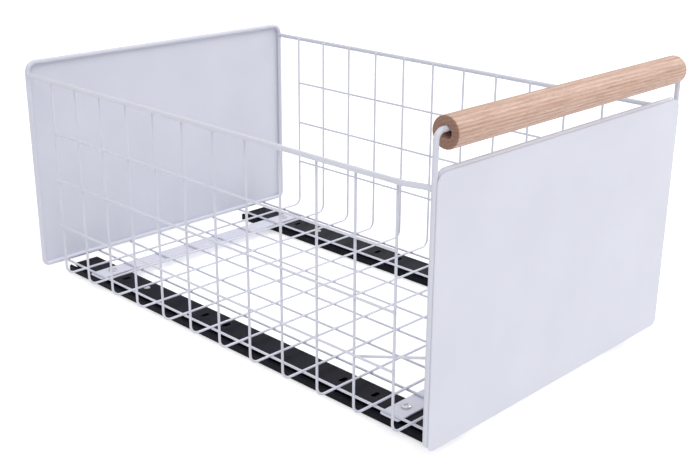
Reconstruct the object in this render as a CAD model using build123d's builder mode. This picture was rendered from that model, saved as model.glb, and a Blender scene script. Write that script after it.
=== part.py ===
"""Pull-out cabinet basket: a welded wire basket with sheet ends and a wooden grip,
carried on two ball-bearing slides that lie flat on the cabinet floor.

Frame: +Z up, +Y to the back of the cabinet, +X to the right seen from the front.
The origin lies on the cabinet floor, centred in width and in depth. Millimetres.
"""
import os
from build123d import *

# ---- wire basket -------------------------------------------------------------
wire_d = 2.0                # mesh wire
rod_d = 4.0                 # rims, end frames and handle rod
cross_count = 12            # U-shaped cross wires
cross_pitch = 36.5          # from one cross wire to the next
basket_width = 291.0        # cross wire leg to leg, between centres
cross_bend_r = 7.3          # centre-line radius of the U bends
back_bay = 35.6             # first cross wire to the back panel
front_bay = 30.5            # last cross wire to the front panel
floor_wire_x = (17.4, 52.2, 88.2, 123.2)    # each on both sides of the middle
side_wire_rise = (47.3, 90.3, 132.9)        # above the cross wires' floor run
rim_rise = 179.3            # rim above the cross wires' floor run
wire_stub = 1.0             # how far a welded wire runs past its last weld
weld_gap = 0.02             # seat between two pieces that are welded

# ---- end frames, panels and braces --------------------------------------------
panel_t = 1.0
panel_top_rise = 189.5      # top rods of both ends above the cross wires' floor run
frame_bend_r = 5.0          # bottom corners of both end frames
frame_top_r = 9.0           # top corners of the back frame
top_rod_bend_r = 5.5        # the front top rod's ends turn down beside the legs
top_rod_tail = 13.0         # bent ends of the front top rod, from its own centre line
rim_end_run = 5.0           # rims' front ends: straight again behind the front legs
rim_end_slope = 14.0        # after they have sloped inward over this length
rim_end_bend_r = 8.0
panel_lap = 0.5             # panels reach this far past the middle of the side rods
panel_drop = 3.3            # and this far below the middle of the bottom rods
back_panel_rise = 1.0       # back panel's top above the middle of its top rod
front_panel_top_r = 6.0
front_panel_bottom_r = 6.0
back_panel_top_r = 9.5
back_panel_bottom_r = 7.0
panel_edge_cut = 0.3        # softened outer edge of the sheet
brace_low_rise = 44.2       # side brace above the floor run, at the last wire but one
brace_high_rise = 65.2      # and at the front frame
brace_end_gap = 0.4         # square-cut end of the sloping brace to the frame's rod

# ---- handle ---------------------------------------------------------------------
grip_d = 21.5
grip_length = 272.0
grip_bore_d = 8.9
grip_lift = 23.5            # grip's axis above the middle of the front top rod
grip_edge_cut = 0.8
grip_play = 0.05            # between the bore's top and the rod that it hangs on
handle_bend_r = 6.0

# ---- straps and their screws ------------------------------------------------------
strap_t = 1.5
strap_width = 18.0
strap_half = 125.5
strap_corner_r = 2.0
rear_strap_back = 15.5      # strap's middle in front of the first cross wire
front_strap_back = 21.5     # strap's middle behind the last cross wire
screw_d = 4.0
screw_fit = 0.05            # round the shank, in the strap and the runner
screw_reach = 4.5           # shank below the strap's top
screw_head_d = 7.6
screw_head_h = 2.2
screw_head_cut = 1.0

# ---- slides -------------------------------------------------------------------------
slide_x = 107.0             # slide's middle from the basket's middle
slide_height = 10.0
slide_length = 450.0
slide_travel = 335.0
slide_back_inset = 1.6      # rail's end in front of the back panel's outer face
steel_t = 1.2
rail_width = 30.0
rail_height = 6.8
rail_lip = 2.1              # lips curl in by this much from the outside
section_bend_r = 1.0        # centre-line radius of the rail's folds
runner_width = 25.0
runner_bend_r = 0.8         # centre-line radius of the runner's folds
runner_edge_drop = 1.2      # web's turned-down edge, between centre lines
ball_d = 3.2
ball_fit = 0.05             # ball to rail, runner and cage
ball_height = 3.9           # ball centres above the cabinet floor
ball_count = 6              # in each of a cage's two rows
cage_t = 0.5
cage_bend_r = 0.42
cage_lift = 0.3             # cage above the rail, runner above the cage
cage_top_strip = 0.65       # cage wall above the ball holes
cage_end_strip = 7.0        # last ball's centre to the cage's end
knee_lift = 0.1             # runner's fold above the balls
stop_width = 8.0
stop_height = 3.3
stop_gap = 0.3              # between pieces that stop each other
buffer_length = 6.0
buffer_width = 14.0
buffer_height = 5.8

# ---- holes and rivets ---------------------------------------------------------------
floor_screw_d = 4.5         # rail to cabinet floor
floor_screw_inset = 40.0    # from each end of the rail
slot_length = 8.0           # slots across the runner's web
slot_width = 4.0
runner_slot_at = (72.5, 187.0, 215.0, 352.0, 385.0)    # from the rail's back end
rivet_at = 103.5
rivet_d = 3.4
rivet_head_d = 6.0
rivet_head_h = 1.2
rivet_tail_h = 0.8

# ---- sections with few sides, for what is long or repeated --------------------------
wire_sides = 6
rod_sides = 10
fastener_sides = 12
ball_sides = 8              # a ball shows this outline from the front, the side and above

# ---- heights ------------------------------------------------------------------------
wire_r = wire_d / 2
rod_r = rod_d / 2
grip_r = grip_d / 2
ball_r = ball_d / 2
strap_top = slide_height + strap_t
floor_wire_z = strap_top + wire_r + weld_gap
cross_wire_z = floor_wire_z + wire_d + weld_gap
frame_bottom_z = floor_wire_z + wire_r + rod_r + weld_gap
frame_top_z = cross_wire_z + panel_top_rise
rim_z = cross_wire_z + rim_rise
grip_z = frame_top_z + grip_lift
handle_z = grip_z + grip_bore_d / 2 - rod_r - grip_play
panel_bottom_z = frame_bottom_z - panel_drop

# ---- depths, centred on the whole object -------------------------------------------
inside_depth = back_bay + (cross_count - 1) * cross_pitch + front_bay
overall_depth = panel_t + inside_depth - rod_r + grip_r
back_panel_y = overall_depth / 2 - panel_t
front_panel_y = back_panel_y - inside_depth
back_frame_y = back_panel_y - rod_r - weld_gap
front_frame_y = front_panel_y + rod_r + weld_gap
first_wire_y = back_panel_y - back_bay
last_wire_y = front_panel_y + front_bay
cross_wire_y = [first_wire_y - i * cross_pitch for i in range(cross_count)]
rear_strap_y = first_wire_y - rear_strap_back
front_strap_y = last_wire_y + front_strap_back
rail_back_y = overall_depth / 2 - slide_back_inset
rail_front_y = rail_back_y - slide_length
runner_back_y = rail_back_y - buffer_length - stop_gap

# ---- widths -------------------------------------------------------------------------
leg_x = basket_width / 2                            # cross wires' legs
wall_x = leg_x + wire_r                             # outer face of the mesh walls
side_wire_x = wall_x + weld_gap + wire_r
rim_x = wall_x + weld_gap + rod_r
frame_x = wall_x - rod_r                            # front frame lies flush with the walls
back_frame_x = rim_x                                # back frame's legs carry the rims' ends
top_rod_x = frame_x - rod_d - weld_gap
brace_x = leg_x - wire_d - weld_gap

# ---- slide sections -------------------------------------------------------------------
ball_x = rail_width / 2 - steel_t - ball_fit - ball_r
runner_flange_x = ball_x - ball_r - ball_fit - steel_t / 2
cage_web_z = steel_t + cage_lift + cage_t / 2
cage_wall_z = ball_height + ball_r + ball_fit + cage_top_strip
runner_foot_z = cage_web_z + cage_t / 2 + cage_lift
runner_knee_z = ball_height + ball_r + knee_lift
runner_web_z = slide_height - steel_t / 2
cage_back_y = runner_back_y - steel_t - slide_travel / 2 - stop_gap
cage_front_y = rail_front_y + steel_t + slide_travel / 2 + stop_gap

sides = {"left": -1, "right": 1}
os.makedirs("parts", exist_ok=True)


def save(part, name):
    """Label a finished piece and write it to its own file."""
    part.label = name
    export_step(part, f"parts/{name}.step")


def facing_front(x, y):
    """Sketch plane at (x, y) on the cabinet floor: right is +X, up is +Z, out is -Y."""
    return Plane(origin=(x, y, 0), x_dir=(1, 0, 0), z_dir=(0, -1, 0))


def across(path):
    """Sketch plane square to a path at its start."""
    return Plane(origin=path @ 0, z_dir=path % 0)


def section(path, radius, sides):
    """Cross-section of a wire or rod, square to its path at the start."""
    with BuildSketch(across(path)) as outline:
        RegularPolygon(radius, sides)
    return outline.sketch


# ---- basket mesh ----------------------------------------------------------------------
with BuildPart() as cross_wires:
    for y in cross_wire_y:
        top = rim_z + wire_stub
        with BuildLine() as u_path:
            FilletPolyline(
                (-leg_x, y, top),
                (-leg_x, y, cross_wire_z),
                (leg_x, y, cross_wire_z),
                (leg_x, y, top),
                radius=cross_bend_r,
            )
        sweep(section(u_path.line, wire_r, wire_sides))
save(cross_wires.part, "cross_wires")

with BuildPart() as floor_wires:
    with BuildSketch(facing_front(0, back_panel_y - weld_gap)):
        for x in floor_wire_x:
            with Locations((-x, floor_wire_z), (x, floor_wire_z)):
                RegularPolygon(wire_r, wire_sides)
    extrude(amount=inside_depth - 2 * weld_gap)
save(floor_wires.part, "floor_wires")

for side, sign in sides.items():
    with BuildPart() as side_wires:
        with BuildSketch(facing_front(sign * side_wire_x, first_wire_y + wire_r + wire_stub)):
            for rise in side_wire_rise:
                with Locations((0, cross_wire_z + rise)):
                    RegularPolygon(wire_r, wire_sides)
        extrude(amount=first_wire_y - last_wire_y + wire_d + 2 * wire_stub)
    save(side_wires.part, f"side_wires_{side}")

    with BuildPart() as rim:
        rim_end_y = front_frame_y + rod_r + weld_gap
        slope_end_y = rim_end_y + rim_end_run
        with BuildLine() as rim_path:
            FilletPolyline(
                (sign * rim_x, back_frame_y - rod_r - weld_gap, rim_z),
                (sign * rim_x, slope_end_y + rim_end_slope, rim_z),
                (sign * frame_x, slope_end_y, rim_z),
                (sign * frame_x, rim_end_y, rim_z),
                radius=rim_end_bend_r,
            )
        sweep(section(rim_path.line, rod_r, rod_sides))
    save(rim.part, f"rim_{side}")

with BuildPart() as side_braces:
    brace_front_y = front_frame_y + rod_r + brace_end_gap
    for sign in sides.values():
        with BuildLine() as brace_path:
            Line(
                (sign * brace_x, cross_wire_y[-2] + wire_stub, cross_wire_z + brace_low_rise),
                (sign * brace_x, brace_front_y, cross_wire_z + brace_high_rise),
            )
        sweep(section(brace_path.line, wire_r, wire_sides))
save(side_braces.part, "side_braces")

# ---- end frames and panels --------------------------------------------------------------
with BuildPart() as back_frame:
    with BuildLine() as loop_path:
        FilletPolyline(
            (back_frame_x, back_frame_y, frame_bottom_z),
            (back_frame_x, back_frame_y, frame_top_z),
            (-back_frame_x, back_frame_y, frame_top_z),
            (-back_frame_x, back_frame_y, frame_bottom_z),
            radius=[frame_bend_r, frame_top_r, frame_top_r, frame_bend_r],
            close=True,
        )
    sweep(section(loop_path.line, rod_r, rod_sides))
save(back_frame.part, "back_frame")

with BuildPart() as front_frame:
    with BuildLine() as handle_path:
        FilletPolyline(
            (frame_x, front_frame_y, frame_bottom_z),
            (frame_x, front_frame_y, handle_z),
            (-frame_x, front_frame_y, handle_z),
            (-frame_x, front_frame_y, frame_bottom_z),
            radius=[frame_bend_r, handle_bend_r, handle_bend_r, frame_bend_r],
            close=True,
        )
    sweep(section(handle_path.line, rod_r, rod_sides))
save(front_frame.part, "front_frame")

with BuildPart() as front_top_rod:
    tail_z = frame_top_z - top_rod_tail
    with BuildLine() as top_path:
        FilletPolyline(
            (-top_rod_x, front_frame_y, tail_z),
            (-top_rod_x, front_frame_y, frame_top_z),
            (top_rod_x, front_frame_y, frame_top_z),
            (top_rod_x, front_frame_y, tail_z),
            radius=top_rod_bend_r,
        )
    sweep(section(top_path.line, rod_r, rod_sides))
save(front_top_rod.part, "front_top_rod")


def end_panel(inner_y, outward, half_width, top_z, top_r, bottom_r):
    """A sheet with rounded corners, inner face at inner_y, outer edge softened."""
    height = top_z - panel_bottom_z
    with BuildPart() as sheet:
        with BuildSketch(facing_front(0, inner_y)) as outline:
            with Locations((0, panel_bottom_z + height / 2)):
                Rectangle(2 * half_width, height)
            corners = outline.vertices().group_by(Axis.Y)
            fillet(corners[0], radius=bottom_r)
            fillet(corners[-1], radius=top_r)
        extrude(amount=-outward * panel_t)
        outer_face = sheet.faces().filter_by(Axis.Y).sort_by(Axis.Y)[-1 if outward > 0 else 0]
        chamfer(outer_face.edges(), length=panel_edge_cut)
    return sheet.part


front_panel = end_panel(
    front_panel_y, -1, frame_x + panel_lap, frame_top_z, front_panel_top_r, front_panel_bottom_r
)
save(front_panel, "front_panel")
back_panel = end_panel(
    back_panel_y, 1, back_frame_x + panel_lap, frame_top_z + back_panel_rise,
    back_panel_top_r, back_panel_bottom_r,
)
save(back_panel, "back_panel")

# ---- grip: a bored dowel that hangs loose on the handle rod -----------------------------
with BuildPart() as wood_grip:
    with BuildSketch(Plane(origin=(-grip_length / 2, front_frame_y, grip_z), z_dir=(1, 0, 0))):
        Circle(grip_r)
        Circle(grip_bore_d / 2, mode=Mode.SUBTRACT)
    extrude(amount=grip_length)
    end_faces = wood_grip.faces().filter_by(Axis.X)
    rims = end_faces.edges().filter_by(lambda edge: edge.radius > grip_r - grip_edge_cut)
    chamfer(rims, length=grip_edge_cut)
save(wood_grip.part, "wood_grip")

# ---- straps, screwed to both runners -------------------------------------------------------
for strap_name, strap_y in (("strap_rear", rear_strap_y), ("strap_front", front_strap_y)):
    with BuildPart() as strap:
        with BuildSketch(Plane(origin=(0, strap_y, slide_height))):
            RectangleRounded(2 * strap_half, strap_width, strap_corner_r)
            with Locations((-slide_x, 0), (slide_x, 0)):
                Circle(screw_d / 2 + screw_fit, mode=Mode.SUBTRACT)
        extrude(amount=strap_t)
    save(strap.part, strap_name)

with BuildPart() as strap_screws:
    for sign in sides.values():
        for strap_y in (rear_strap_y, front_strap_y):
            with BuildSketch(Plane(origin=(sign * slide_x, strap_y, strap_top - screw_reach))):
                RegularPolygon(screw_d / 2, fastener_sides)
            extrude(amount=screw_reach)
            with BuildSketch(Plane(origin=(sign * slide_x, strap_y, strap_top))):
                RegularPolygon(screw_head_d / 2, fastener_sides)
            extrude(amount=screw_head_h)
    crowns = strap_screws.edges().group_by(Axis.Z)[-1]
    chamfer(crowns, length=screw_head_cut)
save(strap_screws.part, "strap_screws")

# ---- ball-bearing slides ------------------------------------------------------------------
with BuildPart() as ball:
    for way, facing in enumerate((Plane.XY, Plane.XZ, Plane.YZ)):
        with BuildSketch(facing):
            RegularPolygon(ball_r, ball_sides, rotation=180 / ball_sides)
        extrude(amount=ball_r, both=True, mode=Mode.INTERSECT if way else Mode.ADD)

for side, sign in sides.items():
    x = sign * slide_x

    # rail: a channel with curled lips, screwed flat to the cabinet floor
    fold_x = rail_width / 2 - steel_t / 2
    lip_z = rail_height - steel_t / 2
    lip_x = rail_width / 2 - rail_lip
    with BuildPart() as rail:
        with BuildSketch(facing_front(x, rail_back_y)):
            with BuildLine():
                FilletPolyline(
                    (-lip_x, lip_z),
                    (-fold_x, lip_z),
                    (-fold_x, steel_t / 2),
                    (fold_x, steel_t / 2),
                    (fold_x, lip_z),
                    (lip_x, lip_z),
                    radius=section_bend_r,
                )
            trace(line_width=steel_t)
        extrude(amount=slide_length)
        with BuildSketch(facing_front(x, rail_front_y + steel_t)):
            with Locations((0, steel_t / 2 + stop_height / 2)):
                Rectangle(stop_width, stop_height + steel_t)
        extrude(amount=steel_t)
        with BuildSketch(Plane(origin=(x, (rail_back_y + rail_front_y) / 2, 0))):
            with GridLocations(0, (slide_length - 2 * floor_screw_inset) / 2, 1, 3):
                Circle(floor_screw_d / 2)
        extrude(amount=steel_t, mode=Mode.SUBTRACT)
    save(rail.part, f"rail_{side}")

    # runner: a hat section over the balls, with slots across its web
    with BuildPart() as runner:
        web_fold_x = runner_width / 2 - steel_t / 2
        with BuildSketch(facing_front(x, runner_back_y)):
            with BuildLine():
                FilletPolyline(
                    (-runner_flange_x, runner_foot_z),
                    (-runner_flange_x, runner_knee_z),
                    (-web_fold_x, runner_web_z - runner_edge_drop),
                    (-web_fold_x, runner_web_z),
                    (web_fold_x, runner_web_z),
                    (web_fold_x, runner_web_z - runner_edge_drop),
                    (runner_flange_x, runner_knee_z),
                    (runner_flange_x, runner_foot_z),
                    radius=runner_bend_r,
                )
            trace(line_width=steel_t)
        extrude(amount=runner_back_y - rail_front_y)
        stop_top_z = runner_web_z
        stop_foot_z = cage_web_z - cage_t / 2
        with BuildSketch(facing_front(x, runner_back_y)):
            with Locations((0, (stop_top_z + stop_foot_z) / 2)):
                Rectangle(stop_width, stop_top_z - stop_foot_z)
        extrude(amount=steel_t)
        with BuildSketch(Plane(origin=(x, rail_back_y, slide_height))):
            with Locations(*[(0, -at) for at in runner_slot_at]):
                SlotOverall(slot_length, slot_width)
            with Locations((0, -rivet_at)):
                Circle(rivet_d / 2)
            with Locations((0, rear_strap_y - rail_back_y), (0, front_strap_y - rail_back_y)):
                Circle(screw_d / 2 + screw_fit)
        extrude(amount=-steel_t, mode=Mode.SUBTRACT)
    save(runner.part, f"runner_{side}")

    # cage: a thin channel between the two, pierced for the balls
    ball_span = cage_back_y - cage_front_y - 2 * cage_end_strip
    ball_pitch = ball_span / (ball_count - 1)
    ball_y = [cage_back_y - cage_end_strip - i * ball_pitch for i in range(ball_count)]
    with BuildPart() as cage:
        with BuildSketch(facing_front(x, cage_back_y)):
            with BuildLine():
                FilletPolyline(
                    (-ball_x, cage_wall_z),
                    (-ball_x, cage_web_z),
                    (ball_x, cage_web_z),
                    (ball_x, cage_wall_z),
                    radius=cage_bend_r,
                )
            trace(line_width=cage_t)
        extrude(amount=cage_back_y - cage_front_y)
        with BuildSketch(Plane(origin=(x - rail_width / 2, 0, 0), x_dir=(0, 1, 0), z_dir=(1, 0, 0))):
            with Locations(*[(y, ball_height) for y in ball_y]):
                RegularPolygon(ball_r + ball_fit, ball_sides, major_radius=False, rotation=180 / ball_sides)
        extrude(amount=rail_width, mode=Mode.SUBTRACT)
    save(cage.part, f"cage_{side}")

    with BuildPart() as balls:
        with Locations(*[(x + end * ball_x, y, ball_height) for end in (-1, 1) for y in ball_y]):
            add(ball.part)
    save(balls.part, f"balls_{side}")

# ---- rubber buffers at the rails' back ends, and the rivets in the runners --------------------
with BuildPart() as rail_buffers:
    for sign in sides.values():
        with BuildSketch(facing_front(sign * slide_x, rail_back_y)):
            with Locations((0, steel_t + buffer_height / 2)):
                Rectangle(buffer_width, buffer_height)
        extrude(amount=buffer_length)
save(rail_buffers.part, "rail_buffers")

with BuildPart() as runner_rivets:
    rivet_y = rail_back_y - rivet_at
    web_z = slide_height - steel_t
    for sign in sides.values():
        with BuildSketch(Plane(origin=(sign * slide_x, rivet_y, web_z - rivet_tail_h))):
            RegularPolygon(rivet_head_d / 2, fastener_sides)
        extrude(amount=rivet_tail_h)
        with BuildSketch(Plane(origin=(sign * slide_x, rivet_y, web_z))):
            RegularPolygon(rivet_d / 2, fastener_sides)
        extrude(amount=steel_t)
        with BuildSketch(Plane(origin=(sign * slide_x, rivet_y, slide_height))):
            RegularPolygon(rivet_head_d / 2, fastener_sides)
        extrude(amount=rivet_head_h)
save(runner_rivets.part, "runner_rivets")
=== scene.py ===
"""Looks of a pull-out cabinet basket: white powder-coated wire, rod and sheet, an oak grip
and black ball-bearing slides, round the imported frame. Metres, +Z up, +Y to the back."""

from math import cos, pi, radians, sin

import bpy
import numpy as np
from mathutils import Matrix, Vector


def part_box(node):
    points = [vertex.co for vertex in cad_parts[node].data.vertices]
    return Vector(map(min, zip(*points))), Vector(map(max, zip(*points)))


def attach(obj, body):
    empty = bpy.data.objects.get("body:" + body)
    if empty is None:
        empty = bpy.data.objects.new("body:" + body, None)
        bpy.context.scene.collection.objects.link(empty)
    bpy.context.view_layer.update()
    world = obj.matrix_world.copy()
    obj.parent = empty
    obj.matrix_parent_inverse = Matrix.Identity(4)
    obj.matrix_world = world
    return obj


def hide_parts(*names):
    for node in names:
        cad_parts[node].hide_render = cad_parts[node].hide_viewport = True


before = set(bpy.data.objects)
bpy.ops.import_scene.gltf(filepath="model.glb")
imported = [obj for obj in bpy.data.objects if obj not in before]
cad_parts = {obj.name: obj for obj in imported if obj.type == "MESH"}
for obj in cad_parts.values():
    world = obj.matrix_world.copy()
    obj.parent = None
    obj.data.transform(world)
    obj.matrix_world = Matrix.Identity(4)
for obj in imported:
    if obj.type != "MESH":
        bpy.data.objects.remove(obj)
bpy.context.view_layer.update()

MM = 0.001
BASKET, GRIP = "basket", "grip"

# ---- sizes of the real pieces that the boxes of the nodes don't give ------------------
wire_r = 1.0 * MM
rod_r = 2.0 * MM
cross_count = 12
cross_pitch = 36.5 * MM
cross_bend_r = 7.3 * MM
floor_wire_x = (17.4 * MM, 52.2 * MM, 88.2 * MM, 123.2 * MM)
side_wire_rise = (47.3 * MM, 90.3 * MM, 132.9 * MM)
brace_rise = (44.2 * MM, 65.2 * MM)
brace_end_gap = 0.4 * MM
frame_bend_r = 5.0 * MM
frame_top_r = 9.0 * MM
top_rod_bend_r = 5.5 * MM
handle_bend_r = 6.0 * MM
rim_end_run = 5.0 * MM
rim_end_slope = 14.0 * MM
rim_end_bend_r = 8.0 * MM
front_panel_corner_r = (6.0 * MM, 8.0 * MM)
back_panel_corner_r = (7.0 * MM, 9.5 * MM)
strap_corner_r = 2.0 * MM
sheet_edge_r = 0.35 * MM
grip_bore_r = 4.45 * MM
grip_edge_r = 0.9 * MM
slide_x = 107.0 * MM
screw_r = 2.0 * MM
screw_head_h = 2.2 * MM
rivet_head_h = 1.2 * MM
rivet_tail_h = 0.8 * MM
rivet_r = 1.7 * MM
ball_r = 1.6 * MM
balls_per_row = 6
weld_gap = 0.02 * MM


# ======================================================================================
# Surfaces
# ======================================================================================
def mesh_piece(name, points, faces, material, body, slot_name):
    """A smooth-shaded object at the origin, from an (n, 3) array of points and a list or array
    of faces."""
    mesh = bpy.data.meshes.new(name)
    corners = np.asarray(points, float).reshape(-1, 3).tolist()
    mesh.from_pydata(corners, [], [list(f) for f in faces])
    mesh.update()
    mesh.polygons.foreach_set("use_smooth", np.ones(len(mesh.polygons), bool))
    piece = bpy.data.objects.new(name, mesh)
    bpy.context.scene.collection.objects.link(piece)
    mesh.materials.append(material)
    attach(piece, body)
    return piece


def grid_faces(rings, around, close_rings=False):
    """Quads between successive rings of `around` points each, each ring closed on itself."""
    i = np.arange(rings if close_rings else rings - 1)[:, None]
    j = np.arange(around)[None, :]
    here, there = i * around, (i + 1) % rings * around
    ahead = (j + 1) % around
    quads = np.stack([here + j, here + ahead, there + ahead, there + j], axis=-1)
    return quads.reshape(-1, 4)


def bent_path(corners, radii, steps=8, closed=False):
    """Points along straight runs joined by tangent arcs: at a corner where the path turns by
    t, the arc of radius r starts r * tan(t / 2) before it, and it is drawn in `steps` chords."""
    corners = [np.asarray(c, float) for c in corners]
    count = len(corners)
    points = []
    for k, corner in enumerate(corners):
        if not closed and k in (0, count - 1):
            points.append(corner)
            continue
        before = corners[k - 1] - corner
        after = corners[(k + 1) % count] - corner
        before = before / np.linalg.norm(before)
        after = after / np.linalg.norm(after)
        turn = pi - np.arccos(np.clip(before @ after, -1, 1))
        radius = radii[k] if closed else radii[k - 1]
        centre = corner + (before + after) / np.linalg.norm(before + after) * radius / cos(turn / 2)
        start = corner + before * radius * np.tan(turn / 2) - centre
        side = -before - (-before @ start) * start / radius ** 2
        side = side / np.linalg.norm(side) * radius
        angle = np.linspace(0, turn, steps + 1)[:, None]
        points.extend(centre + start * np.cos(angle) + side * np.sin(angle))
    return np.array(points)


def tube(path, radius, sides=12, closed=False, round_ends=0.35):
    """A round rod along a path: each ring is centre + radius * (cos v * n + sin v * b), with n
    carried along the path without twist. Open ends are closed by a cap whose edge is rounded
    by a share of the radius. Returns points and faces."""
    path = np.asarray(path, float)
    if closed:
        tangent = np.roll(path, -1, 0) - np.roll(path, 1, 0)
    else:
        tangent = np.gradient(path, axis=0)
    tangent /= np.linalg.norm(tangent, axis=1)[:, None]
    radii = np.full(len(path), radius)
    if not closed:
        soft = radius * round_ends
        lip = soft * (1 - cos(pi / 4))
        first, last = path[0], path[-1]
        t0, t1 = tangent[0], tangent[-1]
        head = np.array([first, first + t0 * lip, first + t0 * soft])
        foot = np.array([last - t1 * soft, last - t1 * lip, last])
        path = np.vstack([head, path[1:-1], foot])
        tangent = np.vstack([[t0] * 3, tangent[1:-1], [t1] * 3])
        ends = np.array([radius - soft, radius - lip, radius])
        radii = np.concatenate([ends, radii[1:-1], ends[::-1]])
    normal = np.zeros_like(path)
    seed = np.eye(3)[np.argmin(np.abs(tangent[0]))]
    normal[0] = np.cross(tangent[0], seed)
    normal[0] /= np.linalg.norm(normal[0])
    for k in range(1, len(path)):
        kept = normal[k - 1] - (normal[k - 1] @ tangent[k]) * tangent[k]
        normal[k] = kept / np.linalg.norm(kept)
    binormal = np.cross(tangent, normal)
    v = np.linspace(0, 2 * pi, sides, endpoint=False)
    ring = np.cos(v)[None, :, None] * normal[:, None] + np.sin(v)[None, :, None] * binormal[:, None]
    points = path[:, None] + radii[:, None, None] * ring
    faces = [tuple(f) for f in grid_faces(len(path), sides, closed)]
    if not closed:
        faces.append(tuple(range(sides))[::-1])
        last = (len(path) - 1) * sides
        faces.append(tuple(last + k for k in range(sides)))
    return outward(points.reshape(-1, 3), faces)


def outward(points, faces):
    """The same faces, all turned round if the volume they enclose comes out negative."""
    volume = 0.0
    for face in faces:
        corners = points[list(face)]
        fan = np.cross(corners[1:-1], corners[2:])
        volume += np.einsum("ij,ij->i", fan, corners[:1].repeat(len(face) - 2, 0)).sum()
    return points, faces if volume > 0 else [tuple(face)[::-1] for face in faces]


def rounded_outline(half, low, high, low_r, high_r, steps=7):
    """Outline of a plate, anticlockwise from its lower right corner: quarter circles
    centre + r * (cos v, sin v) at the corners, joined by straight sides."""
    outline = []
    corners = ((half, low, low_r), (half, high, high_r), (-half, high, high_r), (-half, low, low_r))
    for k, (u, v, r) in enumerate(corners):
        centre = np.array([u - np.sign(u) * r, v + (r if v == low else -r)])
        angle = np.linspace((k - 1) * pi / 2, k * pi / 2, steps + 1)
        outline.append(centre + r * np.column_stack([np.cos(angle), np.sin(angle)]))
    return np.vstack(outline)


def slab(outline, low, high, soft, place):
    """A plate between two heights with its edge rounded: at the angle a the outline is drawn
    in by soft * (1 - cos a) and lies soft * (1 - sin a) inside the nearer face. A last ring in
    each face, 2.5 * soft in, keeps its flat flat. place(u, v, h) puts outline and height into
    space."""
    step = np.roll(outline, -1, 0) - np.roll(outline, 1, 0)
    inward = np.column_stack([-step[:, 1], step[:, 0]]) / np.linalg.norm(step, axis=1)[:, None]
    angles = np.radians([0, 30, 60, 90])
    drawn = [2.5 * soft, *(soft * (1 - np.cos(angles[::-1])))]
    sunk = [0.0, *(soft * (1 - np.sin(angles[::-1])))]
    rings = [outline + inward * d for d in drawn]
    levels = [low + h for h in sunk] + [high - h for h in sunk[::-1]]
    points = np.vstack([
        place(ring[:, 0], ring[:, 1], np.full(len(ring), level))
        for ring, level in zip(rings + rings[::-1], levels)
    ])
    around = len(outline)
    faces = [tuple(f) for f in grid_faces(len(levels), around)]
    faces += [tuple(range(around))[::-1], tuple(range(len(points) - around, len(points)))]
    return outward(points, faces)


def turned(profile, sides, place):
    """A closed profile of (height, radius) turned about its axis: the point at the angle v is
    place(height, radius * cos v, radius * sin v). A profile that starts and ends on the axis
    is capped there by fans; any other closes on itself and leaves a bore."""
    profile = np.asarray(profile, float)
    v = np.linspace(0, 2 * pi, sides, endpoint=False)
    bored = profile[0, 1] > 0
    body = profile if bored else profile[1:-1]
    height = np.repeat(body[:, 0], sides)
    radius = np.repeat(body[:, 1], sides)
    turn = np.tile(v, len(body))
    points = place(height, radius * np.cos(turn), radius * np.sin(turn))
    faces = [tuple(f) for f in grid_faces(len(body), sides, bored)]
    if not bored:
        tips = place(profile[[0, -1], 0], np.zeros(2), np.zeros(2))
        first, last = len(points), len(points) + 1
        base = (len(body) - 1) * sides
        points = np.vstack([points, tips])
        for k in range(sides):
            ahead = (k + 1) % sides
            faces.append((first, ahead, k))
            faces.append((last, base + k, base + ahead))
    return outward(points, faces)


def ball(centre, radii, sides=10, rows=6):
    """An ellipsoid: centre + (a cos u cos v, b cos u sin v, c sin u)."""
    lift = np.linspace(-pi / 2, pi / 2, rows + 1)
    profile = np.column_stack([np.sin(lift), np.maximum(np.cos(lift), 0)])
    profile[[0, -1], 1] = 0
    a, b, c = radii

    def place(h, x, y):
        return np.column_stack([centre[0] + a * x, centre[1] + b * y, centre[2] + c * h])

    return turned(profile, sides, place)


def joined(shells):
    """Several closed shells as one set of points and faces."""
    points, faces, base = [], [], 0
    for shell_points, shell_faces in shells:
        points.append(shell_points)
        faces.extend(tuple(int(k) + base for k in f) for f in shell_faces)
        base += len(shell_points)
    return np.vstack(points), faces


def rod_node(name, shells, node):
    """A white piece made of rods or wires that stands for a node of the frame."""
    piece = mesh_piece(name, *joined(shells), white_coat, BASKET, "white_coat")
    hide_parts(node)


# ======================================================================================
# Finishes
# ======================================================================================
def new_material(name, colour, roughness, metallic=0.0):
    """A node material with a Principled shader and its uniform values set on the sockets."""
    material = bpy.data.materials.new(name)
    material.use_nodes = True
    nodes, links = material.node_tree.nodes, material.node_tree.links
    shader = nodes["Principled BSDF"]
    shader.inputs["Base Color"].default_value = (*colour, 1)
    shader.inputs["Roughness"].default_value = roughness
    shader.inputs["Metallic"].default_value = metallic
    where = nodes.new("ShaderNodeTexCoord")
    return material, nodes, links, shader, where


def noise(nodes, links, vector, scale, detail=3.0, roughness=0.5):
    """Noise texture at a vector."""
    texture = nodes.new("ShaderNodeTexNoise")
    texture.inputs["Scale"].default_value = scale
    texture.inputs["Detail"].default_value = detail
    texture.inputs["Roughness"].default_value = roughness
    links.new(vector, texture.inputs["Vector"])
    return texture


def ramp(nodes, links, factor, stops):
    """Colour ramp with (position, colour) stops."""
    node = nodes.new("ShaderNodeValToRGB")
    while len(node.color_ramp.elements) < len(stops):
        node.color_ramp.elements.new(0.5)
    for element, (position, colour) in zip(node.color_ramp.elements, stops):
        element.position = position
        element.color = (*colour, 1)
    links.new(factor, node.inputs["Fac"])
    return node


def bump(nodes, links, height, shader, strength, distance):
    """Fine relief on a shader's normal, `distance` metres deep."""
    node = nodes.new("ShaderNodeBump")
    node.inputs["Strength"].default_value = strength
    node.inputs["Distance"].default_value = distance
    links.new(height, node.inputs["Height"])
    links.new(node.outputs["Normal"], shader.inputs["Normal"])


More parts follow.
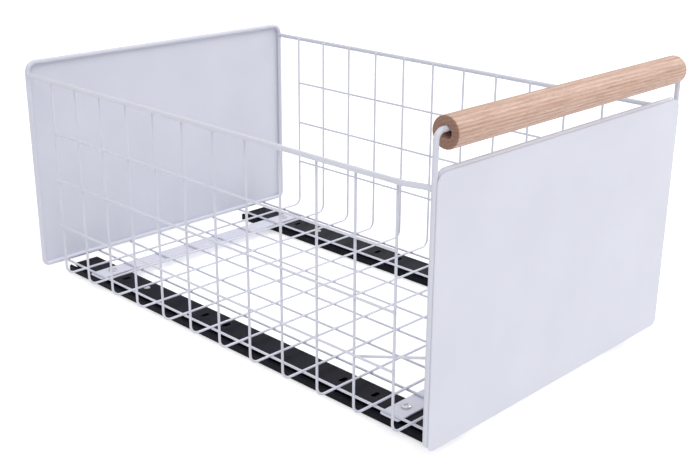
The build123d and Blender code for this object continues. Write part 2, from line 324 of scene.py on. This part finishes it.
def powder_coat(name, colour, peel_scale, peel_depth):
    """White powder coat: faint colour drift, satin gloss that varies, orange peel."""
    material, nodes, links, shader, where = new_material(name, colour, 0.38)
    drift = noise(nodes, links, where.outputs["Object"], 18.0, 2.0)
    low = tuple(c * 0.975 for c in colour)
    high = tuple(min(c * 1.02, 1.0) for c in colour)
    tint = ramp(nodes, links, drift.outputs["Fac"], [(0.3, low), (0.7, high)])
    links.new(tint.outputs["Color"], shader.inputs["Base Color"])
    gloss = noise(nodes, links, where.outputs["Object"], 220.0, 2.0)
    spread = nodes.new("ShaderNodeMapRange")
    spread.inputs["To Min"].default_value = 0.32
    spread.inputs["To Max"].default_value = 0.46
    links.new(gloss.outputs["Fac"], spread.inputs["Value"])
    links.new(spread.outputs["Result"], shader.inputs["Roughness"])
    peel = noise(nodes, links, where.outputs["Object"], peel_scale, 2.0, 0.45)
    bump(nodes, links, peel.outputs["Fac"], shader, 0.25, peel_depth)
    return material


def black_steel():
    """Black coat on rolled steel: long faint rolling streaks, scuffs that lift the gloss."""
    material, nodes, links, shader, where = new_material("black_steel", (0.008, 0.008, 0.011), 0.36)
    shader.inputs["Specular IOR Level"].default_value = 0.06
    stretch = nodes.new("ShaderNodeMapping")
    stretch.inputs["Scale"].default_value = (1.0, 0.04, 1.0)
    links.new(where.outputs["Object"], stretch.inputs["Vector"])
    streak = noise(nodes, links, stretch.outputs["Vector"], 900.0, 3.0)
    tint = ramp(nodes, links, streak.outputs["Fac"],
                [(0.35, (0.005, 0.005, 0.010)), (0.75, (0.011, 0.011, 0.019))])
    links.new(tint.outputs["Color"], shader.inputs["Base Color"])
    spread = nodes.new("ShaderNodeMapRange")
    spread.inputs["To Min"].default_value = 0.28
    spread.inputs["To Max"].default_value = 0.44
    links.new(streak.outputs["Fac"], spread.inputs["Value"])
    links.new(spread.outputs["Result"], shader.inputs["Roughness"])
    bump(nodes, links, streak.outputs["Fac"], shader, 0.15, 0.00004)
    return material


def bare_metal(name, colour, roughness, scale):
    """Plated or polished metal with a fine mottle in its gloss."""
    material, nodes, links, shader, where = new_material(name, colour, roughness, 1.0)
    mottle = noise(nodes, links, where.outputs["Object"], scale, 3.0)
    low = tuple(c * 0.88 for c in colour)
    tint = ramp(nodes, links, mottle.outputs["Fac"], [(0.3, low), (0.7, colour)])
    links.new(tint.outputs["Color"], shader.inputs["Base Color"])
    spread = nodes.new("ShaderNodeMapRange")
    spread.inputs["To Min"].default_value = roughness * 0.8
    spread.inputs["To Max"].default_value = roughness * 1.3
    links.new(mottle.outputs["Fac"], spread.inputs["Value"])
    links.new(spread.outputs["Result"], shader.inputs["Roughness"])
    bump(nodes, links, mottle.outputs["Fac"], shader, 0.1, 0.00003)
    return material


def rubber():
    """Matt black rubber with a fine grain."""
    material, nodes, links, shader, where = new_material("buffer_rubber", (0.02, 0.02, 0.02), 0.8)
    grain = noise(nodes, links, where.outputs["Object"], 1500.0, 2.0)
    tint = ramp(nodes, links, grain.outputs["Fac"], [(0.3, (0.016,) * 3), (0.7, (0.03,) * 3)])
    links.new(tint.outputs["Color"], shader.inputs["Base Color"])
    bump(nodes, links, grain.outputs["Fac"], shader, 0.3, 0.0001)
    return material


white_coat = powder_coat("white_coat", (0.735, 0.745, 0.842), 1400.0, 0.00005)
white_panel = powder_coat("white_panel", (0.735, 0.75, 0.848), 900.0, 0.00006)
black = black_steel()
zinc = bare_metal("zinc", (0.70, 0.70, 0.71), 0.28, 700.0)
cage_steel = bare_metal("cage_steel", (0.50, 0.50, 0.51), 0.35, 500.0)
ball_steel = bare_metal("ball_steel", (0.72, 0.72, 0.73), 0.10, 300.0)
buffer_rubber = rubber()

node_finish = {
    "cross_wires": white_coat, "floor_wires": white_coat,
    "side_wires_left": white_coat, "side_wires_right": white_coat,
    "rim_left": white_coat, "rim_right": white_coat, "side_braces": white_coat,
    "back_frame": white_coat, "front_frame": white_coat, "front_top_rod": white_coat,
    "strap_rear": white_coat, "strap_front": white_coat,
    "back_panel": white_panel, "front_panel": white_panel,
    "runner_left": black, "runner_right": black, "rail_left": black, "rail_right": black,
    "strap_screws": zinc, "runner_rivets": zinc,
    "cage_left": cage_steel, "cage_right": cage_steel,
    "balls_left": ball_steel, "balls_right": ball_steel,
    "rail_buffers": buffer_rubber,
}


def oak(half, axis_y, axis_z):
    """Oak dowel along X. Growth rings are circles round a pith line beside the dowel, so the
    side shows long bands and the ends show arcs; fibres and open pores are noise drawn out
    along X, and the end grain is darker."""
    material, nodes, links, shader, where = new_material("oak", (0.60, 0.41, 0.31), 0.5)
    ring_pitch, pith_aside, pith_below = 2.3 * MM, 9.0 * MM, 15.0 * MM
    wave_period = 0.314                      # of the Wave texture at a scale of 1
    end_grain_from, end_grain_to = 0.35 * MM, 0.05 * MM     # in from the dowel's ends

    def drawn_out(share, offset=(0.0, 0.0, 0.0)):
        mapping = nodes.new("ShaderNodeMapping")
        mapping.inputs["Location"].default_value = offset
        mapping.inputs["Scale"].default_value = (share, 1.0, 1.0)
        links.new(where.outputs["Object"], mapping.inputs["Vector"])
        return mapping.outputs["Vector"]

    def blend(kind, factor, under, over):
        mix = nodes.new("ShaderNodeMix")
        mix.data_type, mix.blend_type = "RGBA", kind
        sockets = mix.inputs[0], mix.inputs[6], mix.inputs[7]
        for socket, value in zip(sockets, (factor, under, over)):
            if isinstance(value, (int, float)):
                socket.default_value = value
            elif isinstance(value, tuple):
                socket.default_value = (*value, 1)
            else:
                links.new(value, socket)
        return mix.outputs[2]

    rings = nodes.new("ShaderNodeTexWave")
    rings.wave_type, rings.rings_direction = "RINGS", "X"
    rings.inputs["Scale"].default_value = wave_period / ring_pitch
    rings.inputs["Distortion"].default_value = 2.4
    rings.inputs["Detail"].default_value = 2.0
    rings.inputs["Detail Scale"].default_value = 0.6
    to_pith = (0.0, pith_aside - axis_y, pith_below - axis_z)
    links.new(drawn_out(0.03, to_pith), rings.inputs["Vector"])
    band = ramp(nodes, links, rings.outputs["Fac"], [
        (0.0, (0.580, 0.370, 0.285)), (0.35, (0.660, 0.445, 0.350)), (1.0, (0.700, 0.485, 0.395)),
    ])
    fibre = noise(nodes, links, drawn_out(0.045), 900.0, 4.0, 0.62)
    fibre_tint = ramp(nodes, links, fibre.outputs["Fac"], [
        (0.36, (0.80, 0.72, 0.68)), (0.5, (0.96, 0.94, 0.92)), (0.64, (1.04, 1.05, 1.06)),
    ])
    pores = noise(nodes, links, drawn_out(0.07), 2600.0, 1.0, 0.5)
    pore_mask = ramp(nodes, links, pores.outputs["Fac"], [(0.33, (1.0,) * 3), (0.42, (0.0,) * 3)])
    colour = blend("MULTIPLY", 1.0, band.outputs["Color"], fibre_tint.outputs["Color"])
    pore_share = nodes.new("ShaderNodeMath")
    pore_share.operation = "MULTIPLY"
    pore_share.inputs[1].default_value = 0.55
    links.new(pore_mask.outputs["Color"], pore_share.inputs[0])
    colour = blend("MIX", pore_share.outputs[0], colour, (0.38, 0.21, 0.16))

    apart = nodes.new("ShaderNodeSeparateXYZ")
    links.new(where.outputs["Object"], apart.inputs["Vector"])
    reach = nodes.new("ShaderNodeMath")
    reach.operation = "ABSOLUTE"
    links.new(apart.outputs["X"], reach.inputs[0])
    end_grain = nodes.new("ShaderNodeMapRange")
    end_grain.interpolation_type = "SMOOTHSTEP"
    end_grain.inputs["From Min"].default_value = half - end_grain_from
    end_grain.inputs["From Max"].default_value = half - end_grain_to
    links.new(reach.outputs[0], end_grain.inputs["Value"])
    darker = blend("MULTIPLY", 1.0, colour, (0.50, 0.42, 0.38))
    colour = blend("MIX", end_grain.outputs["Result"], colour, darker)
    links.new(colour, shader.inputs["Base Color"])

    spread = nodes.new("ShaderNodeMapRange")
    spread.inputs["To Min"].default_value = 0.58
    spread.inputs["To Max"].default_value = 0.42
    links.new(fibre.outputs["Fac"], spread.inputs["Value"])
    links.new(spread.outputs["Result"], shader.inputs["Roughness"])
    relief = nodes.new("ShaderNodeMath")
    relief.operation = "SUBTRACT"
    links.new(fibre.outputs["Fac"], relief.inputs[0])
    links.new(pore_mask.outputs["Color"], relief.inputs[1])
    bump(nodes, links, relief.outputs[0], shader, 0.3, 0.00006)
    return material


grip_low, grip_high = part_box("wood_grip")
grip_r = (grip_high.z - grip_low.z) / 2
grip_y, grip_z = (grip_low.y + grip_high.y) / 2, (grip_low.z + grip_high.z) / 2
oak_finish = oak(grip_high.x, grip_y, grip_z)
node_finish["wood_grip"] = oak_finish
for node, finish in node_finish.items():
    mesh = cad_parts[node].data
    mesh.materials.clear()
    mesh.materials.append(finish)

# ======================================================================================
# Wire basket: mesh, rims, end frames and braces
# ======================================================================================
mesh_low, mesh_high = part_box("cross_wires")
leg_x = mesh_high.x - wire_r
leg_top = mesh_high.z
floor_run_z = mesh_low.z + wire_r
first_wire_y = mesh_high.y - wire_r
cross_wire_y = first_wire_y - cross_pitch * np.arange(cross_count)

rod_node("mesh_cross_wires", [
    tube(bent_path([(-leg_x, y, leg_top), (-leg_x, y, floor_run_z),
                    (leg_x, y, floor_run_z), (leg_x, y, leg_top)], [cross_bend_r] * 2), wire_r)
    for y in cross_wire_y
], "cross_wires")

floor_low, floor_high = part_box("floor_wires")
floor_wire_z = (floor_low.z + floor_high.z) / 2
rod_node("mesh_floor_wires", [
    tube([(x, floor_high.y, floor_wire_z), (x, floor_low.y, floor_wire_z)], wire_r)
    for reach in floor_wire_x for x in (-reach, reach)
], "floor_wires")

front_low, front_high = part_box("front_frame")
front_leg_x = front_high.x - rod_r
front_rod_y = (front_low.y + front_high.y) / 2
bottom_rod_z = front_low.z + rod_r
handle_z = front_high.z - rod_r
back_low, back_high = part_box("back_frame")
back_leg_x = back_high.x - rod_r
back_rod_y = (back_low.y + back_high.y) / 2
top_rod_z = back_high.z - rod_r

# ---- weld metal, as the radii of ellipsoids ---------------------------------------------
bead_spread, bead_flat = 1.25 * wire_r, 0.55 * wire_r
butt_weld = (2.35 * MM, 1.3 * MM, 2.4 * MM)      # where a rim's end meets a leg
side_weld = (1.2 * MM, 1.9 * MM, 1.7 * MM)       # between the top rod's tails and the legs
side_weld_rise = (1.5 * MM, 5.0 * MM)            # above the ends of those tails
sheet_weld = (1.0 * MM, 0.7 * MM, 3.2 * MM)      # runs between rods and sheets
beads = []


def bead(x, y, z, flat_on):
    """Squeezed-out weld metal where two wires cross, thin along the axis they touch on."""
    radii = [bead_spread] * 3
    radii["xyz".index(flat_on)] = bead_flat
    beads.append(ball((x, y, z), radii, 8, 4))


for side, sign in (("left", -1), ("right", 1)):
    wires_low, wires_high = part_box(f"side_wires_{side}")
    side_wire_x = (wires_low.x + wires_high.x) / 2
    rod_node(f"mesh_side_wires_{side}", [
        tube([(side_wire_x, wires_high.y, floor_run_z + rise),
              (side_wire_x, wires_low.y, floor_run_z + rise)], wire_r)
        for rise in side_wire_rise
    ], f"side_wires_{side}")
    rim_low, rim_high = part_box(f"rim_{side}")
    rim_z = (rim_low.z + rim_high.z) / 2
    rim_x = back_leg_x
    slope_end = rim_low.y + rim_end_run
    rim_route = [(sign * rim_x, rim_high.y, rim_z),
                 (sign * rim_x, slope_end + rim_end_slope, rim_z),
                 (sign * front_leg_x, slope_end, rim_z),
                 (sign * front_leg_x, rim_low.y, rim_z)]
    rod_node(f"top_rim_{side}", [
        tube(bent_path(rim_route, [rim_end_bend_r] * 2, 4), rod_r, 16),
    ], f"rim_{side}")
    for y in cross_wire_y:
        for rise in side_wire_rise:
            bead(sign * (leg_x + wire_r), y, floor_run_z + rise, "x")
        bead(sign * (leg_x + wire_r), y, rim_z, "x")
    beads.append(ball((sign * front_leg_x, rim_low.y, rim_z), butt_weld, 12, 6))
    beads.append(ball((sign * rim_x, rim_high.y, rim_z), butt_weld, 12, 6))

for y in cross_wire_y:
    for reach in floor_wire_x:
        for x in (-reach, reach):
            bead(x, y, (floor_wire_z + floor_run_z) / 2, "z")
for y in (front_rod_y, back_rod_y):
    for reach in floor_wire_x:
        for x in (-reach, reach):
            bead(x, y, floor_wire_z + wire_r, "z")

brace_x = leg_x - 2 * wire_r - weld_gap
brace_start = (cross_wire_y[-2] + wire_r, floor_run_z + brace_rise[0])
brace_end = (front_rod_y + rod_r + brace_end_gap, floor_run_z + brace_rise[1])
rod_node("corner_braces", [
    tube([(sign * brace_x, *brace_start), (sign * brace_x, *brace_end)], wire_r)
    for sign in (-1, 1)
], "side_braces")
for sign in (-1, 1):
    for y in cross_wire_y[-2:]:
        share = (y - brace_start[0]) / (brace_end[0] - brace_start[0])
        brace_z = brace_start[1] + share * (brace_end[1] - brace_start[1])
        bead(sign * (brace_x + wire_r), y, brace_z, "x")


def rod_loop(half, y, low, high, top_r, steps, sides):
    """A closed upright loop of rod, straight between its four bends."""
    corners = [(half, y, low), (half, y, high), (-half, y, high), (-half, y, low)]
    path = bent_path(corners, [frame_bend_r, top_r, top_r, frame_bend_r], steps, True)
    return tube(path, rod_r, sides, True)


rod_node("back_frame_rod", [
    rod_loop(back_leg_x, back_rod_y, bottom_rod_z, top_rod_z, frame_top_r, 8, 16),
], "back_frame")
rod_node("handle_and_front_frame_rod", [
    rod_loop(front_leg_x, front_rod_y, bottom_rod_z, handle_z, handle_bend_r, 10, 18),
], "front_frame")
tail_low, tail_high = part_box("front_top_rod")
tail_x = tail_high.x - rod_r
rod_node("front_top_rod_bent", [
    tube(bent_path([(-tail_x, front_rod_y, tail_low.z), (-tail_x, front_rod_y, top_rod_z),
                    (tail_x, front_rod_y, top_rod_z), (tail_x, front_rod_y, tail_low.z)],
                   [top_rod_bend_r] * 2, 8), rod_r, 16)
], "front_top_rod")
for sign in (-1, 1):
    joint_x = sign * (front_leg_x + tail_x) / 2
    for rise in side_weld_rise:
        beads.append(ball((joint_x, front_rod_y, tail_low.z + rise), side_weld, 10, 6))
mesh_piece("weld_beads", *joined(beads), white_coat, BASKET, "white_coat")

# ======================================================================================
# Sheets, straps and their screws
# ======================================================================================
for end, corner_r in (("front", front_panel_corner_r), ("back", back_panel_corner_r)):
    low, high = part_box(f"{end}_panel")
    outline = rounded_outline(high.x, low.z, high.z, *corner_r)
    sheet = slab(outline, low.y, high.y, sheet_edge_r, lambda u, v, h: np.column_stack([u, h, v]))
    piece = mesh_piece(f"{end}_sheet", *sheet, white_panel, BASKET, "white_panel")
    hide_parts(f"{end}_panel")

seams = []
seam_count, seam_margin, seam_inset = 5, 22 * MM, 1.1 * MM
for y, half in ((front_rod_y, front_leg_x), (back_rod_y, back_leg_x)):
    at_sheet = y + (rod_r if y > 0 else -rod_r)
    for z in np.linspace(bottom_rod_z + seam_margin, top_rod_z - seam_margin, seam_count):
        for x in (-half, half):
            inset = -np.sign(x) * seam_inset
            seam_y = at_sheet - np.sign(y) * sheet_weld[1]
            seams.append(ball((x + inset, seam_y, z), sheet_weld, 8, 6))
mesh_piece("sheet_weld_runs", *joined(seams), white_coat, BASKET, "white_coat")

for strap in ("strap_rear", "strap_front"):
    low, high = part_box(strap)
    middle = (low.y + high.y) / 2
    half_width = (high.y - low.y) / 2
    outline = rounded_outline(high.x, -half_width, half_width, strap_corner_r, strap_corner_r, 5)
    slat = slab(outline, low.z, high.z, sheet_edge_r,
                lambda u, v, h: np.column_stack([u, v + middle, h]))
    piece = mesh_piece(f"{strap}_slat", *slat, white_coat, BASKET, "white_coat")
    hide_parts(strap)


def pan_head(x, y, seat, foot, head_r, head_h, shank_r, cross_half, cross_reach, cross_depth):
    """A pan head on a shank. Over the radius r the crown is h(r) = head_h * (1 - 0.42 (r / R)^2.6)
    and falls round to the seat; a cross recess sinks it where |u| or |v| is under cross_half and
    r under cross_reach, with walls that slope over 0.25 mm."""
    rings, around, tip_ease = 22, 64, 0.2 * MM
    share = np.linspace(0, 1, rings + 1)[1:]
    radius = head_r * share ** 0.9
    v = np.linspace(0, 2 * pi, around, endpoint=False)
    r, t = np.meshgrid(radius, v, indexing="ij")
    crown = head_h * (1 - 0.42 * (r / head_r) ** 2.6)
    across, along = np.abs(r * np.cos(t)), np.abs(r * np.sin(t))
    slope = 0.25 * MM
    inside = np.clip((cross_half - np.minimum(across, along)) / slope + 0.5, 0, 1)
    inside *= np.clip((cross_reach - r) / slope + 0.5, 0, 1)
    height = seat + crown - inside * cross_depth
    top = np.stack([x + r * np.cos(t), y + r * np.sin(t), height], -1).reshape(-1, 3)
    rim = [(1.0, seat + head_h * 0.30), (0.985, seat + 0.08 * MM), (0.96, seat)]
    lower = [(head_r * k, z) for k, z in rim]
    lower += [(shank_r, seat), (shank_r, foot + tip_ease), (shank_r - tip_ease, foot)]
    ring = np.vstack([
        np.column_stack([x + k * np.cos(v), y + k * np.sin(v), np.full(around, z)])
        for k, z in lower
    ])
    centre_top = [(x, y, seat + head_h - cross_depth)]
    points = np.vstack([top, ring, centre_top, [(x, y, foot)]])
    count = rings + len(lower)
    faces = [tuple(f) for f in grid_faces(count, around)]
    tip, base = count * around, (count - 1) * around
    for k in range(around):
        ahead = (k + 1) % around
        faces.append((tip, k, ahead))
        faces.append((tip + 1, base + ahead, base + k))
    return outward(points, faces)


screw_low, screw_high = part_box("strap_screws")
strap_top = screw_high.z - screw_head_h
screw_head_r = screw_high.x - slide_x
recess_half, recess_reach, recess_depth = 0.5 * MM, 2.1 * MM, 1.1 * MM
piece = mesh_piece("cross_recess_screws", *joined([
    pan_head(sign * slide_x, y, strap_top, screw_low.z, screw_head_r, screw_head_h, screw_r,
             recess_half, recess_reach, recess_depth)
    for sign in (-1, 1) for y in (screw_low.y + screw_head_r, screw_high.y - screw_head_r)
]), zinc, BASKET, "zinc")
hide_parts("strap_screws")

rivet_low, rivet_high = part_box("runner_rivets")
rivet_y = (rivet_low.y + rivet_high.y) / 2
rivet_head_r = (rivet_high.y - rivet_low.y) / 2
under_r, tail_r, tail_edge = rivet_head_r * 0.97, rivet_head_r * 0.8, 0.3 * MM
top = rivet_high.z - rivet_head_h
web = rivet_low.z + rivet_tail_h
dome = [(rivet_high.z - rivet_head_h * (1 - cos(a)), rivet_head_r * sin(a))
        for a in np.linspace(0, pi / 2, 7)]
profile = dome + [
    (top, under_r), (top, rivet_r), (web, rivet_r), (web, under_r),
    (web - tail_edge, rivet_head_r), (rivet_low.z, tail_r), (rivet_low.z, 0.0),
]
piece = mesh_piece("domed_rivets", *joined([
    turned(profile, 28, lambda h, u, v: np.column_stack([sign * slide_x + u, rivet_y + v, h]))
    for sign in (-1, 1)
]), zinc, BASKET, "zinc")
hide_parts("runner_rivets")

# ======================================================================================
# Bearing balls
# ======================================================================================
for side, sign in (("left", -1), ("right", 1)):
    low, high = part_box(f"balls_{side}")
    half_ball = (high.z - low.z) / 2
    reach = (high.x - low.x) / 2 - half_ball
    lift = (low.z + high.z) / 2
    row = np.linspace(high.y - half_ball, low.y + half_ball, balls_per_row)
    piece = mesh_piece(f"bearing_balls_{side}", *joined([
        ball((sign * slide_x + end * reach, y, lift), (ball_r,) * 3, 16, 10)
        for end in (-1, 1) for y in row
    ]), ball_steel, f"ball_cage_{side}", "ball_steel")
    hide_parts(f"balls_{side}")

# ======================================================================================
# Grip
# ======================================================================================
def bored_dowel():
    """A dowel along X with a bore: both ends' outer edges follow a quarter circle of radius
    grip_edge_r and the bore's mouths are eased by 0.3 mm."""
    half, ease = grip_high.x, 0.3 * MM
    angle = np.linspace(0, pi / 2, 6)
    edge = [(half - grip_edge_r * (1 - sin(a)), grip_r - grip_edge_r * (1 - cos(a))) for a in angle]
    right = edge + [
        (half, grip_r - grip_edge_r - 0.5 * MM), (half, grip_bore_r + ease + 0.3 * MM),
        (half, grip_bore_r + ease), (half - ease, grip_bore_r), (half - 3 * ease, grip_bore_r),
    ]
    left = [(-h, r) for h, r in right[::-1]]
    along = [(x, grip_r) for x in np.linspace(-half + 2 * MM, half - 2 * MM, 9)]
    profile = right + left + along
    return turned(profile, 96, lambda h, u, v: np.column_stack([h, grip_y + u, grip_z + v]))


piece = mesh_piece("oak_dowel", *bored_dowel(), oak_finish, GRIP, "oak")
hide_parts("wood_grip")

# ======================================================================================
# Stage, lights and camera
# ======================================================================================
def seen_directly(nodes, links):
    """1 for what the camera sees straight on, in a reflection or through glass, else 0."""
    path = nodes.new("ShaderNodeLightPath")
    total = path.outputs["Is Camera Ray"]
    for ray in ("Is Glossy Ray", "Is Transmission Ray"):
        either = nodes.new("ShaderNodeMath")
        either.operation = "MAXIMUM"
        links.new(total, either.inputs[0])
        links.new(path.outputs[ray], either.inputs[1])
        total = either.outputs[0]
    return total


def stage_floor():
    """White floor that keeps the object's shadow: plain diffuse paint, and for the background
    a glow that only the eye and reflections see, which brings the lit floor up to white."""
    mesh = bpy.data.meshes.new("floor")
    half, glow_strength = 6.0, 0.42
    corners = [(-half, -half, 0), (half, -half, 0), (half, half, 0), (-half, half, 0)]
    mesh.from_pydata(corners, [], [(0, 1, 2, 3)])
    floor = bpy.data.objects.new("floor", mesh)
    bpy.context.scene.collection.objects.link(floor)
    material, nodes, links, shader, where = new_material("floor_white", (0.92, 0.92, 0.92), 0.9)
    shader.inputs["Specular IOR Level"].default_value = 0.0
    shader.inputs["Emission Color"].default_value = (1, 1, 1, 1)
    glow = nodes.new("ShaderNodeMath")
    glow.operation = "MULTIPLY"
    glow.inputs[1].default_value = glow_strength
    links.new(seen_directly(nodes, links), glow.inputs[0])
    links.new(glow.outputs[0], shader.inputs["Emission Strength"])
    mesh.materials.append(material)


stage_floor()

world = bpy.data.worlds.new("studio")
bpy.context.scene.world = world
world.use_nodes = True
sky = world.node_tree.nodes["Background"]
sky.inputs["Color"].default_value = (1, 1, 1, 1)
sky_nodes, sky_links = world.node_tree.nodes, world.node_tree.links
sky_where = sky_nodes.new("ShaderNodeTexCoord")
sky_apart = sky_nodes.new("ShaderNodeSeparateXYZ")
sky_links.new(sky_where.outputs["Generated"], sky_apart.inputs["Vector"])
overhead = sky_nodes.new("ShaderNodeMapRange")
overhead.inputs["To Min"].default_value = 0.25
overhead.inputs["To Max"].default_value = 1.0
sky_links.new(sky_apart.outputs["Z"], overhead.inputs["Value"])
sky_level = sky_nodes.new("ShaderNodeMapRange")
sky_level.inputs["To Max"].default_value = 1.0
sky_links.new(seen_directly(sky_nodes, sky_links), sky_level.inputs["Value"])
sky_links.new(overhead.outputs["Result"], sky_level.inputs["To Min"])
sky_links.new(sky_level.outputs["Result"], sky.inputs["Strength"])


def lamp(name, place, target, size, power):
    """A round soft lamp at a place, turned to a target."""
    data = bpy.data.lights.new(name, "AREA")
    data.shape = "DISK"
    data.size = size
    data.energy = power
    light = bpy.data.objects.new(name, data)
    bpy.context.scene.collection.objects.link(light)
    light.location = place
    light.rotation_mode = "QUATERNION"
    light.rotation_quaternion = (Vector(target) - Vector(place)).to_track_quat("-Z", "Y")


lamp("key", (-1.8, -2.6, 3.6), (0, 0, 0.1), 2.8, 40.0)
lamp("fill", (2.3, -1.0, 2.0), (0, 0, 0.1), 2.0, 30.0)

# The camera was fitted to the wires' crossings, in pitches from the first wire's floor run.
camera_place = (-17.30694 * cross_pitch,
                first_wire_y - 22.85764 * cross_pitch,
                floor_run_z + 10.42658 * cross_pitch)
camera_azimuth = radians(-45.7262)
camera_elevation = radians(20.0770)
camera_roll = radians(0.4710)
sensor_width, lens_length = 36.0, 56.51     # both in real millimetres, as Blender takes them


def photograph_camera():
    """A level camera turned to azimuth a and elevation e, then rolled about its own axis."""
    data = bpy.data.cameras.new("camera")
    data.sensor_width = sensor_width
    data.lens = lens_length
    data.clip_start = 0.05
    camera = bpy.data.objects.new("camera", data)
    bpy.context.scene.collection.objects.link(camera)
    a, e = camera_azimuth, camera_elevation
    back = Vector((sin(a) * cos(e), -cos(a) * cos(e), sin(e)))
    right = Vector((cos(a), sin(a), 0))
    up = back.cross(right)
    turned_right = right * cos(camera_roll) + up * sin(camera_roll)
    turned_up = up * cos(camera_roll) - right * sin(camera_roll)
    turn = Matrix((turned_right, turned_up, back)).transposed().to_4x4()
    camera.matrix_world = Matrix.Translation(camera_place) @ turn
    bpy.context.scene.camera = camera


photograph_camera()
bpy.context.scene.view_settings.view_transform = "Standard"
